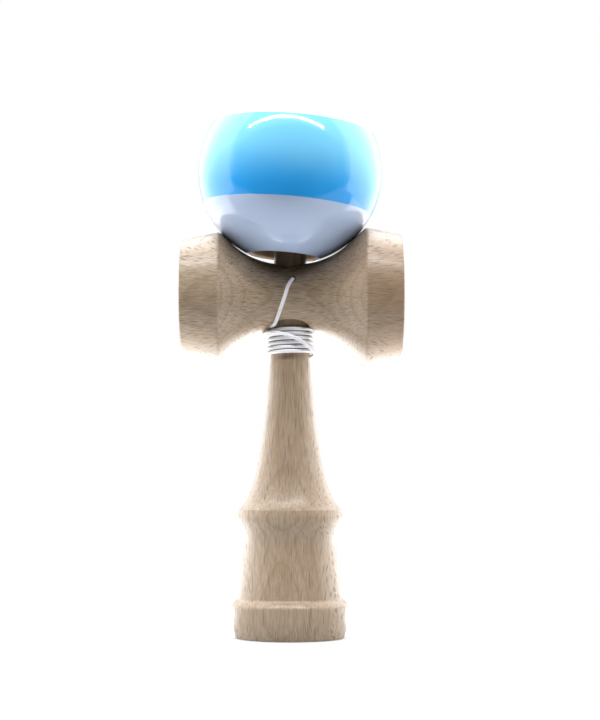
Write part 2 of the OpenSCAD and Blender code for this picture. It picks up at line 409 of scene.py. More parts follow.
@dataclass(frozen=True)
class Beech:
    """Turned beech: growth rings, fine fibres and the short dark flecks of its rays.

    The pattern fills space, so each cut surface shows it as a lathe would bare it. Its sizes are
    millimetres from the middle of the log, and its scales are periods in a millimetre.

    Attributes:
        grain: Which way the fibres run in the piece.
        surface: How the piece is finished.
        cut: Where in the log the piece was.
        pale: The wood's paler tone.
        deep: Its darker tone.
        late: The tone of late wood, fibres and lines.
        fleck: The tone of the rays' flecks.
        heart_and_shade: The tone of the heart, where the piece has some of it, and on the handle's spike
            painted shade of the ball.
        heart_and_shade_span: Where along the log that tone starts and where it is full.
        heart_and_shade_share: How strong that tone is.
        heart_and_shade_shift: How far its start wanders.
        reach: The distance from the log's middle at which the way round it is measured.
        sway_scale: The scale at which the log is bent.
        sway_out: How far it is bent outwards.
        sway_round: How far it is bent round its middle.
        cloud_scale: The scale of the two tones.
        cloud_detail: How many finer layers the two tones have.
        cloud_span: The stretch of their noise in which one tone turns into the other.
        ring_pitch: The mean width of a year's ring.
        ring_scale: The scale at which the rings widen and narrow.
        ring_shift: How many rings they are shifted by that.
        ring_detail: How many finer layers that shift has.
        late_rise: Where in a ring its late wood starts and where it is full.
        late_fall: Where it ends, from the end backwards.
        late_share: How dark it is.
        lines: Long faint lines along the log.
        fibres: Short fine fibres.
        flecks: The rays' flecks.
        worn: How much smoother and rougher than its finish the surface gets.
        fleck_rough: How much rougher a fleck is.
        coat_ior: The coat's index of refraction.
        fibre_height: The fibres' part of the relief.
        fleck_height: The flecks' part of it.
        relief_depth: The relief's depth, in metres.
        relief_strength: How strongly it shows.
    """

    grain: Grain
    surface: Surface = Surface.SATIN
    cut: Point = (34.0, 21.0, 0.0)
    pale: Colour = (0.42, 0.328, 0.233)
    deep: Colour = (0.348, 0.259, 0.175)
    late: Colour = (0.24, 0.16, 0.095)
    fleck: Colour = (0.105, 0.06, 0.032)
    heart_and_shade: Colour = (0.32, 0.195, 0.105)
    heart_and_shade_span: Pair | None = None
    heart_and_shade_share: float = 0.5
    heart_and_shade_shift: float = 14.0
    reach: float = 46.0
    sway_scale: Point = (0.035, 0.035, 0.012)
    sway_out: float = 7.0
    sway_round: float = 2.0
    cloud_scale: Point = (0.09, 0.09, 0.022)
    cloud_detail: float = 3.0
    cloud_span: Pair = (0.28, 0.74)
    ring_pitch: float = 2.7
    ring_scale: float = 0.16
    ring_shift: float = 1.7
    ring_detail: float = 1.0
    late_rise: Pair = (0.68, 0.95)
    late_fall: Pair = (1.0, 0.96)
    late_share: float = 0.42
    lines: Streaks = Streaks(across=1.15, along=0.02, span=(0.48, 0.76), share=0.4)
    fibres: Streaks = Streaks(
        across=2.1, along=0.13, span=(0.38, 0.62), share=0.44, detail=3.0, roughness=0.62
    )
    flecks: Flecks = Flecks()
    worn: Pair = (-0.05, 0.07)
    fleck_rough: float = 0.1
    coat_ior: float = 1.3
    fibre_height: float = 0.4
    fleck_height: float = 0.6
    relief_depth: float = 0.035 * MM
    relief_strength: float = 0.55

    def material(self, name: str) -> bpy.types.Material:
        """Builds the finish.

        Args:
            name: The material's name.

        Returns:
            The material.
        """
        material, graph = new_material(name)
        inside = self._inside(graph)
        log = self._log_place(graph, inside)
        cloud = graph.noise(graph.scaled(inside, self.cloud_scale), self.cloud_detail)
        line = self.lines.noise(graph, log)
        fibre = self.fibres.noise(graph, log)
        flecks = self.flecks.cover(graph, log)

        tone = graph.blend(graph.ramp(cloud, *self.cloud_span), self.pale, self.deep)
        # A tone along the log: the cross-piece's redder heart, and on the handle painted shade of the ball
        # over the spike
        if self.heart_and_shade_span:
            heart_and_shade_cover = graph.ramp(log.along + graph.shift(cloud, self.heart_and_shade_shift), *self.heart_and_shade_span)
            tone = graph.blend(heart_and_shade_cover * self.heart_and_shade_share, tone, self.heart_and_shade)
        tone = graph.blend(self._late_wood(graph, log) * self.late_share, tone, self.late)
        tone = graph.blend(self.lines.cover(graph, line), tone, self.late)
        tone = graph.blend(self.fibres.cover(graph, fibre), tone, self.late)
        tone = graph.blend(flecks * self.flecks.share, tone, self.fleck)

        roughness, coat, coat_roughness = self.surface.value
        smoother, rougher = (roughness + change for change in self.worn)
        relief = fibre * self.fibre_height + (1.0 - flecks) * self.fleck_height
        principled(
            graph,
            {
                "Base Color": tone,
                "Roughness": graph.ramp(fibre, *NOISE_SPAN, (smoother, rougher)) + flecks * self.fleck_rough,
                "Coat Weight": coat,
                "Coat Roughness": coat_roughness,
                "Coat IOR": self.coat_ior,
                "Normal": graph.bump(relief, self.relief_depth, self.relief_strength),
            },
        )
        return material

    def _inside(self, graph: Graph) -> Term:
        """Brings a place of the piece into the log.

        Args:
            graph: The material's graph.

        Returns:
            The place in millimetres, from the log's middle and with the log upright.
        """
        blank = graph.node(
            "ShaderNodeMapping",
            sockets={
                "Vector": graph.place(),
                "Location": self.cut,
                "Rotation": [math.radians(turn) for turn in self.grain.value],
                "Scale": alike(1 / MM),
            },
        )
        return graph.term(blank)

    def _log_place(self, graph: Graph, inside: Term) -> LogPlace:
        """Measures a place by the log's own bent rings.

        Args:
            graph: The material's graph.
            inside: The place in the log.

        Returns:
            The place round, out from and along the log.
        """
        x, y, along = graph.split(inside)
        sway = graph.noise(graph.scaled(inside, self.sway_scale))
        out = graph.math("SQRT", x * x + y * y) + graph.shift(sway, self.sway_out)
        round_way = graph.math("ARCTAN2", x, y) * self.reach + graph.shift(sway, self.sway_round)
        return LogPlace(round_way, out, along)

    def _late_wood(self, graph: Graph, log: LogPlace) -> Term:
        """Finds the dark late wood of each year's ring.

        Args:
            graph: The material's graph.
            log: The place in the log.

        Returns:
            1 in late wood, 0 in early wood.
        """
        spread = graph.noise(graph.join(log.out * self.ring_scale, 0.0, 0.0), self.ring_detail)
        phase = graph.math("FRACT", log.out / self.ring_pitch + spread * self.ring_shift)
        return graph.ramp(phase, *self.late_rise) * graph.ramp(phase, *self.late_fall)


@dataclass(frozen=True)
class BallPaint:
    """Two coats under clear gloss: white all over, and a blue band round the ball.

    Heights are millimetres up the ball's axis from its middle, and scales are periods in a millimetre.

    Attributes:
        band: The heights of the band's two edges.
        edge: Half the width over which an edge fades.
        edge_scale: The scale at which the edges waver.
        edge_shift: How far they waver.
        blue: The band's blue at its top, painted lighter there as light from above.
        shaded_blue: Its blue at its bottom, painted darker there as shade.
        blue_shade_span: Where the blue's painted shade starts and where it is darkest, as shares of the
            band's edges.
        white: The white at the top.
        shaded_white: The white at the bottom, painted darker and bluer there as shade.
        cloud_scale: The scale at which the painted light and shade waver.
        cloud_shift: How far they waver.
        worn_scale: The scale at which the surface gets duller.
        worn_detail: How many finer layers that has.
        roughness: How rough it is where it is new and where it is worn.
        specular: The paint's own shine.
        coat: The clear coat's weight.
        coat_roughness: Its roughness.
        coat_ior: Its index of refraction.
        step_depth: The height of the band's edge, in metres.
        step_strength: How strongly that edge shows.
    """

    band: Pair = (-12.2, 14.0)
    edge: float = 0.1
    edge_scale: float = 0.35
    edge_shift: float = 0.12
    blue: Colour = (0.21, 0.665, 1.0)
    shaded_blue: Colour = (0.03, 0.405, 0.97)
    blue_shade_span: Pair = (0.4, 0.85)
    white: Colour = (0.80, 0.83, 0.90)
    shaded_white: Colour = (0.495, 0.615, 0.845)
    cloud_scale: float = 0.07
    cloud_shift: float = 3.0
    worn_scale: float = 0.08
    worn_detail: float = 1.0
    roughness: Pair = (0.09, 0.11)
    specular: float = 0.3
    coat: float = 0.65
    coat_roughness: float = 0.03
    coat_ior: float = 1.38
    step_depth: float = 0.008 * MM
    step_strength: float = 0.1

    def material(self, name: str, middle: Vector, axis: Vector) -> bpy.types.Material:
        """Builds the finish.

        Args:
            name: The material's name.
            middle: The ball's middle.
            axis: The direction of its holes, which the band is square to.

        Returns:
            The material.
        """
        material, graph = new_material(name)
        local = graph.vector("SUBTRACT", graph.place(), tuple(middle))
        inside = graph.scaled(local, alike(1 / MM))
        height = graph.vector("DOT_PRODUCT", inside, tuple(axis), "Value")
        brush = graph.noise(graph.scaled(inside, alike(self.edge_scale)))
        up = height + graph.shift(brush, self.edge_shift)
        low, high = self.band
        above = graph.ramp(up, low - self.edge, low + self.edge)
        band = above * graph.ramp(up, high + self.edge, high - self.edge)

        # Painted light and shade: the white and the blue are lighter towards the ball's top and darker
        # towards its bottom, as the lamps above light them
        cloud = graph.noise(graph.scaled(inside, alike(self.cloud_scale)))
        soft_height = height + graph.shift(cloud, self.cloud_shift)
        white = graph.blend(graph.ramp(soft_height, high, low), self.white, self.shaded_white)
        blue_shade = graph.ramp(soft_height, high * self.blue_shade_span[0], low * self.blue_shade_span[1])
        blue = graph.blend(blue_shade, self.blue, self.shaded_blue)
        worn = graph.noise(graph.scaled(inside, alike(self.worn_scale)), self.worn_detail)
        principled(
            graph,
            {
                "Base Color": graph.blend(band, white, blue),
                "Roughness": graph.ramp(worn, *NOISE_SPAN, self.roughness),
                "Specular IOR Level": self.specular,
                "Coat Weight": self.coat,
                "Coat Roughness": self.coat_roughness,
                "Coat IOR": self.coat_ior,
                "Normal": graph.bump(band, self.step_depth, self.step_strength),
            },
        )
        return material


@dataclass(frozen=True)
class WhiteYarn:
    """Smooth white yarn, with painted shade in the hollows of its braid and in the gaps between its threads.

    Attributes:
        light: The yarn's tone on top of the braid.
        hollow_shade: Its tone in the hollows, darkened there as painted shade.
        hollow_shade_span: The stretch of the braid's height in which one turns into the other.
        thread_size: The width of a thread.
        thread_detail: How many finer layers the threads have.
        thread_span: The stretch of their noise in which their gaps come out.
        thread_share: How dark the painted shade in the gaps is.
        roughness: How rough the yarn is on a thread and between the threads.
        sheen: The weight of its sheen.
        sheen_roughness: The sheen's roughness.
        relief_depth: The depth of the gaps.
        relief_strength: How strongly they show.
    """

    light: Colour = (0.87, 0.875, 0.91)
    hollow_shade: Colour = (0.54, 0.55, 0.61)
    hollow_shade_span: Pair = (0.1, 0.75)
    thread_size: float = MM / 9
    thread_detail: float = 3.0
    thread_span: Pair = (0.45, 0.75)
    thread_share: float = 0.22
    roughness: Pair = (0.55, 0.75)
    sheen: float = 0.25
    sheen_roughness: float = 0.4
    relief_depth: float = 0.03 * MM
    relief_strength: float = 0.5

    def material(self, name: str) -> bpy.types.Material:
        """Builds the finish.

        Args:
            name: The material's name.

        Returns:
            The material.
        """
        material, graph = new_material(name)
        threads = graph.scaled(graph.place(), alike(1 / self.thread_size))
        thread = graph.noise(threads, self.thread_detail)
        # Painted shade: the yarn is darker in the braid's hollows and in the gaps between its threads
        braid = graph.node("ShaderNodeAttribute", {"attribute_name": RELIEF})
        height = graph.ramp(graph.term(braid, "Fac"), *self.hollow_shade_span)
        tone = graph.blend(height, self.hollow_shade, self.light)
        tone = graph.blend(graph.ramp(thread, *self.thread_span) * self.thread_share, tone, self.hollow_shade)
        principled(
            graph,
            {
                "Base Color": tone,
                "Roughness": graph.ramp(thread, *NOISE_SPAN, self.roughness),
                "Sheen Weight": self.sheen,
                "Sheen Roughness": self.sheen_roughness,
                "Normal": graph.bump(thread, self.relief_depth, self.relief_strength),
            },
        )
        return material


# Turned shapes


@dataclass
class Outline:
    """Half section of a turned piece: (distance from the axis, height along it).

    It runs from the bottom, round the outside, to the top.

    Attributes:
        points: The points that it has come to.
        marks: The number of each point's material.
        corners: How far from a corner its rounding starts, by the number of the corner's point.
        mark: The number of the material of the next points.
    """

    points: list[Pair] = field(default_factory=list)
    marks: list[int] = field(default_factory=list)
    corners: dict[int, float] = field(default_factory=dict)
    mark: int = 0

    def to(self, radius: float, height: float, rounding: float = 0.0) -> "Outline":
        """Goes straight to a point.

        Args:
            radius: Distance from the axis.
            height: Height along it.
            rounding: How far from this corner its rounding starts.

        Returns:
            This outline.
        """
        if rounding:
            self.corners[len(self.points)] = rounding
        self.points.append((radius, height))
        self.marks.append(self.mark)
        return self

    def arc(
        self,
        height: float,
        radius: float,
        start: float,
        end: float,
        out: float = 0.0,
        rounding: float = 0.0,
    ) -> "Outline":
        """Goes along an arc.

        Args:
            height: Height of the arc's middle.
            radius: Its radius.
            start: Its first angle, in degrees up from straight out.
            end: Its last angle.
            out: Distance of its middle from the axis.
            rounding: How far from the arc's first point that corner's rounding starts.

        Returns:
            This outline.
        """
        steps = max(LEAST_ARC_STEPS, round(abs(end - start) / ARC_STEP))
        for step in range(steps + 1):
            angle = math.radians(start + (end - start) * step / steps)
            reach = max(0.0, out + radius * math.cos(angle))
            self.to(reach, height + radius * math.sin(angle), 0.0 if step else rounding)
        return self

    def curve(self, radius: float, height: float, guides: Guides, steps: int = 24) -> "Outline":
        """Goes along a smooth curve.

        Args:
            radius: Distance of its end from the axis.
            height: Height of its end.
            guides: Its two guides: the share of the change of radius still to go there, and
                the share of the rise that is done.
            steps: How many stretches it has.

        Returns:
            This outline.
        """
        start, end = np.array(self.points[-1]), np.array((radius, height))
        first, second = (
            np.array((end[0] + (start[0] - end[0]) * to_go, start[1] + (end[1] - start[1]) * done))
            for to_go, done in guides
        )
        for t in np.linspace(0.0, 1.0, steps + 1)[1:]:
            near_start = start * (1 - t) ** 3 + 3 * first * t * (1 - t) ** 2
            at = near_start + 3 * second * t * t * (1 - t) + end * t**3
            self.to(float(at[0]), float(at[1]))
        return self

    def soften(self, rounding: float) -> "Outline":
        """Rounds the corner that the outline has come to."""
        self.corners[len(self.points) - 1] = rounding
        return self

    def rounded(self, steps: int = 6) -> tuple[np.ndarray, list[int]]:
        """Rounds the outline's corners.

        Args:
            steps: Stretches of each rounding.

        Returns:
            The points, and the mark of each.
        """
        line = np.array(self.points)
        run = np.concatenate([[0.0], np.cumsum(np.linalg.norm(np.diff(line, axis=0), axis=1))])
        hidden = np.zeros(len(line), bool)
        for i, reach in self.corners.items():
            hidden |= np.abs(run - run[i]) <= reach
        made: list[np.ndarray] = []
        marks: list[int] = []
        for i, point in enumerate(line):
            if i in self.corners:
                reach = self.corners[i]
                before, after = (
                    np.array([np.interp(run[i] + way, run, line[:, k]) for k in (0, 1)])
                    for way in (-reach, reach)
                )
                for t in np.linspace(0.0, 1.0, steps + 1):
                    made.append(before * (1 - t) ** 2 + 2 * point * t * (1 - t) + after * t * t)
                    marks.append(self.marks[i])
            elif not hidden[i]:
                made.append(point)
                marks.append(self.marks[i])
        return np.array(made), marks


@dataclass(frozen=True)
class Lathe:
    """Turns outlines about an axis of the model.

    Attributes:
        origin: A point of the axis, at an outline's height of zero.
        axis: The axis's direction.
        segments: How many sides a turned piece has.
    """

    origin: Point
    axis: Point = (0.0, 0.0, 1.0)
    segments: int = 160

    def place(self) -> Matrix:
        """Brings a piece turned about +Z at the origin to this axis."""
        turn = Vector(self.axis).to_track_quat("Z", "Y").to_matrix().to_4x4()
        return Matrix.Translation(self.origin) @ turn

    def turn(
        self,
        name: str,
        outline: Outline,
        materials: Sequence[bpy.types.Material] = (),
        ring: bool = False,
    ) -> bpy.types.Object:
        """Turns one piece.

        Args:
            name: The piece's name.
            outline: Its half section.
            materials: One for each mark of the outline.
            ring: True if the outline closes on itself, off the axis.

        Returns:
            The piece, in place.
        """
        points, marks = outline.rounded()
        corners, rows = self._rows(points)
        if ring:
            rows.append(rows[0])
        faces: list[tuple[int, ...]] = []
        kinds: list[int] = []
        for mark, low, high in zip(marks, rows, rows[1:]):
            for j in range(self.segments):
                k = (j + 1) % self.segments
                face = tuple(dict.fromkeys((low[j], low[k], high[k], high[j])))
                if len(face) > 2:
                    faces.append(face)
                    kinds.append(mark)
        mesh = bpy.data.meshes.new(name)
        mesh.from_pydata(corners, [], faces)
        for material in materials:
            mesh.materials.append(material)
        mesh.polygons.foreach_set("material_index", kinds)
        mesh.transform(self.place())
        smooth(mesh)
        return show(name, mesh)

    def _rows(self, points: np.ndarray) -> tuple[list[Point], list[list[int]]]:
        """Turns each point of an outline into a ring of corners.

        Args:
            points: The outline's points.

        Returns:
            The corners, and the numbers of each ring's corners, which are all the same on the axis.
        """
        angles = np.linspace(0.0, 2 * math.pi, self.segments, endpoint=False)
        corners: list[Point] = []
        rows: list[list[int]] = []
        for radius, height in points:
            start = len(corners)
            if radius < ON_AXIS:
                corners.append((0.0, 0.0, float(height)))
                rows.append([start] * self.segments)
                continue
            for angle in angles:
                corners.append((radius * math.cos(angle), radius * math.sin(angle), float(height)))
            rows.append(list(range(start, start + self.segments)))
        return corners, rows


def show(name: str, mesh: bpy.types.Mesh) -> bpy.types.Object:
    """Shows a mesh.

    Args:
        name: The name of what is shown.
        mesh: The mesh.

    Returns:
        An object with the mesh, at the origin.
    """
    shown = bpy.data.objects.new(name, mesh)
    bpy.context.scene.collection.objects.link(shown)
    return shown


def smooth(mesh: bpy.types.Mesh) -> None:
    """Shades a mesh smooth, but for its sharp edges."""
    mesh.shade_smooth()
    mesh.set_sharp_from_angle(angle=math.radians(SHARP_ANGLE))


def cup_arc(mouth_r: float, depth: float) -> Pair:
    """The radius of a round cup, and the angle in degrees at which its arc meets the mouth."""
    radius = (mouth_r**2 + depth**2) / (2 * depth)
    return radius, math.degrees(math.acos(mouth_r / radius))


def drill(start: Point, end: Point, radius: float) -> bpy.types.Object:
    """Makes a round tool for cutting a hole.

    Args:
        start: The middle of its one end.
        end: The middle of its other end.
        radius: Its radius.

    Returns:
        The tool.
    """
    way = Vector(end) - Vector(start)
    outline = Outline().to(0.0, 0.0).to(radius, 0.0).to(radius, way.length).to(0.0, way.length)
    return Lathe(start, tuple(way.normalized()), DRILL_SEGMENTS).turn("tool", outline)


def evaluated_mesh(shown: bpy.types.Object) -> bpy.types.Mesh:
    """A plain mesh of an object with its modifiers."""
    graph = bpy.context.evaluated_depsgraph_get()
    return bpy.data.meshes.new_from_object(shown.evaluated_get(graph), depsgraph=graph)


def cut(piece: bpy.types.Object, tools: Sequence[bpy.types.Object]) -> None:
    """Cuts tools out of a piece, and drops the tools.

    Args:
        piece: The piece, which gets a new mesh.
        tools: The tools.
    """
    for tool in tools:
        modifier = piece.modifiers.new("cut", "BOOLEAN")
        modifier.operation = "DIFFERENCE"
        modifier.solver = "EXACT"
        modifier.object = tool
    mesh = evaluated_mesh(piece)
    piece.modifiers.clear()
    piece.data = mesh
    smooth(mesh)
    for tool in tools:
        bpy.data.objects.remove(tool)


def settle(piece: bpy.types.Object, body: str, slot: str, *nodes: str) -> bpy.types.Object:
    """Puts a piece on its body.

    Args:
        piece: The piece.
        body: The body that it rides on.
        slot: A material slot's name, which is not used.
        nodes: The nodes that it stands for.

    Returns:
        The piece.
    """
    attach(piece, body)
    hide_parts(*nodes)
    LOG.info("%s: %d faces, on %s", piece.name, len(piece.data.polygons), body)
    return piece


# Pieces


@dataclass
class Handle:
    """The handle: base cup, grip, neck, tenon and spike, in one turned piece.

    A name that ends in guides holds the two guides of the curve that leads there, and a name that ends
    in round says how far from the corner its rounding starts.
    """

    foot_d: float = 35.0 * MM
    foot_round: float = 0.7 * MM
    foot_wall: float = 1.8 * MM
    mouth_round: float = 0.35 * MM
    cup_depth: float = 8.0 * MM
    base_h: float = 10.0 * MM
    base_guides: Guides = ((0.3, 0.3), (0.1, 0.65))
    base_round: float = 0.6 * MM
    shoulder_h: float = 2.3 * MM
    shoulder_at: Pair = (0.34, 0.52)
    shoulder_round: float = 0.7 * MM
    grip_d: float = 33.7 * MM
    grip_round: float = 0.5 * MM
    waist_d: float = 28.8 * MM
    waist_z: float = 29.6 * MM
    waist_guides: Guides = ((0.6, 0.35), (0.2, 0.75))
    ridge_d: float = 33.8 * MM
    ridge_z: float = 38.0 * MM
    ridge_h: float = 2.6 * MM
    ridge_guides: Guides = ((0.97, 0.5), (0.1, 0.68))
    ridge_band: float = 0.6 * MM
    ridge_round: float = 0.4 * MM
    ridge_top_share: float = 0.97
    ridge_top_round: float = 0.18 * MM
    neck_d: float = 12.7 * MM
    neck_z: float = 88.98 * MM
    neck_guides: Guides = ((0.46, 0.09), (0.2, 0.43))
    neck_steps: int = 60
    seat_z: float = 105.2 * MM
    seat_round: float = 0.2 * MM
    tenon_d: float = 10.6 * MM
    spike_z: float = 119.6 * MM
    dome_d: float = 6.8 * MM
    dome_share: float = 0.7
    dome_guides: Guides = ((0.9, 0.45), (0.5, 0.8))
    tip_guides: Guides = ((1.0, 0.6), (0.55, 1.0))
    hole_d: float = 2.4 * MM
    hole_at: Pair = (1.0 * MM, 114.1 * MM)
    knot_y: float = 2.86 * MM
    pocket_d: float = 4.6 * MM

    def outline(self) -> Outline:
        """Draws the handle's half section.

        Returns:
            The outline, from the base cup's middle to the spike's tip.
        """
        low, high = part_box("ken")
        base_r, tip_z = (high.x - low.x) / 2, high.z
        foot_r, grip_r, ridge_r = self.foot_d / 2, self.grip_d / 2, self.ridge_d / 2
        neck_r, tenon_r, dome_r = self.neck_d / 2, self.tenon_d / 2, self.dome_d / 2
        cup_r, rim = cup_arc(foot_r - self.foot_wall, self.cup_depth)
        inwards, upwards = self.shoulder_at
        shoulder_r = base_r - (base_r - grip_r) * inwards
        line = Outline().arc(self.cup_depth - cup_r, cup_r, 90.0, rim).soften(self.mouth_round)
        line.to(foot_r, 0.0, self.foot_round)
        line.to(foot_r, self.foot_round)
        line.curve(base_r, self.base_h, self.base_guides).soften(self.base_round)
        line.to(shoulder_r, self.base_h + self.shoulder_h * upwards, self.shoulder_round)
        line.to(grip_r, self.base_h + self.shoulder_h, self.grip_round)
        line.curve(self.waist_d / 2, self.waist_z, self.waist_guides)
        line.curve(ridge_r, self.ridge_z, self.ridge_guides)
        line.to(ridge_r, self.ridge_z + self.ridge_band, self.ridge_round)
        line.to(ridge_r * self.ridge_top_share, self.ridge_z + self.ridge_h, self.ridge_top_round)
        line.curve(neck_r, self.neck_z, self.neck_guides, self.neck_steps)
        line.to(neck_r, self.seat_z, self.seat_round)
        line.to(tenon_r, self.seat_z)
        line.to(tenon_r, self.spike_z)
        line.curve(dome_r, tip_z - dome_r * self.dome_share, self.dome_guides)
        return line.curve(0.0, tip_z, self.tip_guides)

    def build(self) -> bpy.types.Object:
        """Turns, drills and dresses the handle.

        Returns:
            The handle.
        """
        wood = Beech(
            Grain.UPRIGHT,
            cut=(6.0, 47.0, 0.0),
            # The near-black tone from the tenon up over the spike is painted shade of the ball, which sits
            # over the spike
            heart_and_shade=(0.075, 0.044, 0.025),
            heart_and_shade_span=(110.0, 118.0),
            heart_and_shade_share=0.85,
        ).material("handle_beech")
        piece = Lathe(ORIGIN).turn("handle", self.outline(), [wood])
        x, z = self.hole_at
        front, back = -self.tenon_d, self.tenon_d
        hole = drill((x, self.knot_y, z), (x, front, z), self.hole_d / 2)
        pocket = drill((x, self.knot_y - self.pocket_d / 2, z), (x, back, z), self.pocket_d / 2)
        cut(piece, [hole, pocket])
        return settle(piece, "ken", "handle_wood", "ken")


@dataclass
class CrossPiece:
    """The cross-piece: two cups back to back on a waist, with the bore for the tenon.

    Its axis lay at log_at in the log, in millimetres from the log's middle.
    """

    waist_d: float = 21.26 * MM
    waist_run: float = 4.0 * MM
    flare_r: float = 24.85 * MM
    flank_angle: float = 43.3
    small_edge_d: float = 42.0 * MM
    small_lip_d: float = 37.0 * MM
    small_cup_depth: float = 9.0 * MM
    big_lip_d: float = 40.4 * MM
    big_cup_depth: float = 10.0 * MM
    lip_wall: float = 1.5 * MM
    lip_round: float = 0.6 * MM
    mouth_round: float = 0.4 * MM
    edge_round: float = 0.7 * MM
    bore_d: float = 10.7 * MM
    bore_overlap: float = 1.0 * MM
    seat_d: float = 12.8 * MM
    seat_z: float = 105.2 * MM
    recess_d: float = 15.94 * MM
    recess_z: Pair = (99.9 * MM, 101.6 * MM)
    recess_guides: Guides = ((1.0, 0.55), (0.55, 1.0))
    recess_steps: int = 8
    hole_d: float = 1.9 * MM
    hole_at: Pair = (1.0 * MM, 114.1 * MM)
    log_at: Pair = (-5.0, 44.0)

    def outline(self) -> Outline:
        """Draws the half section.

        Returns:
            The outline, from the small cup's middle to the big cup's, along +X.
        """
        low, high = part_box("sarado")
        flare_out, run = self.waist_d / 2 + self.flare_r, self.waist_run / 2
        turn = math.radians(self.flank_angle)
        flank_r = flare_out - self.flare_r * math.cos(turn)
        flank_x = run + self.flare_r * math.sin(turn)
        small_r, big_r = self.small_edge_d / 2, (high.z - low.z) / 2
        line = Outline()
        self._cup(line, low.x, self.small_lip_d, self.small_cup_depth, -1.0)
        line.to(small_r, -(flank_x + (small_r - flank_r) / math.tan(turn)), self.edge_round)
        line.arc(-run, self.flare_r, 180.0 + self.flank_angle, 180.0, flare_out)
        line.arc(run, self.flare_r, 180.0, 180.0 - self.flank_angle, flare_out)
        line.to(big_r, flank_x + (big_r - flank_r) / math.tan(turn), self.edge_round)
        self._cup(line, high.x, self.big_lip_d, self.big_cup_depth, 1.0)
        return line

    def _cup(self, line: Outline, reach: float, lip_d: float, depth: float, side: float) -> None:
        """Adds a cup and its lip to the outline.

        Args:
            line: The outline.
            reach: The place of the lip along X.
            lip_d: The lip's diameter.
            depth: The cup's depth.
            side: -1 for the cup at -X, which the outline leaves, or 1 for the one that it enters.
        """
        mouth_r = lip_d / 2 - self.lip_wall
        cup_r, rim = cup_arc(mouth_r, depth)
        middle = reach + side * (cup_r - depth)
        if side < 0:
            line.arc(middle, cup_r, 90.0, rim).soften(self.mouth_round)
            line.to(lip_d / 2, reach, self.lip_round)
        else:
            line.to(lip_d / 2, reach, self.lip_round)
            line.to(mouth_r, reach, self.mouth_round)
            line.arc(middle, cup_r, -rim, -90.0)

    def _recess(self, bottom: float) -> bpy.types.Object:
        """Makes the tool for the recess round the neck, with a rounded top.

        Args:
            bottom: The height that the tool starts at.

        Returns:
            The tool.
        """
        wide, start, top = self.recess_d / 2, self.recess_z[0] - bottom, self.recess_z[1] - bottom
        outline = Outline().to(0.0, 0.0).to(wide, 0.0).to(wide, start)
        outline.curve(self.seat_d / 2, top, self.recess_guides, self.recess_steps).to(0.0, top)
        return Lathe((0.0, 0.0, bottom), segments=DRILL_SEGMENTS).turn("tool", outline)

    def build(self) -> bpy.types.Object:
        """Turns, drills and dresses the cross-piece.

        Returns:
            The cross-piece.
        """
        low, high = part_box("sarado")
        axis_z = (low.z + high.z) / 2
        wood = Beech(
            Grain.ACROSS,
            cut=(axis_z / MM + self.log_at[0], self.log_at[1], 0.0),
            heart_and_shade_span=(10.0, 40.0),
            heart_and_shade_share=0.6,
            pale=(0.453, 0.355, 0.252),
            deep=(0.376, 0.28, 0.19),
            flecks=Flecks(size=(0.36, 3.0, 5.2), share=0.78),
        ).material("cross_beech")
        lathe = Lathe((0.0, 0.0, axis_z), axis=(1.0, 0.0, 0.0))
        piece = lathe.turn("cross_piece", self.outline(), [wood])
        x, z = self.hole_at
        bore_z = self.seat_z - self.bore_overlap
        tools = [
            drill((0.0, 0.0, bore_z), (0.0, 0.0, high.z), self.bore_d / 2),
            drill((0.0, 0.0, low.z), (0.0, 0.0, self.seat_z), self.seat_d / 2),
            self._recess(low.z),
            drill((x, 0.0, z), (x, -self.waist_d, z), self.hole_d / 2),
        ]
        cut(piece, tools)
        return settle(piece, "ken", "cross_wood", "sarado")


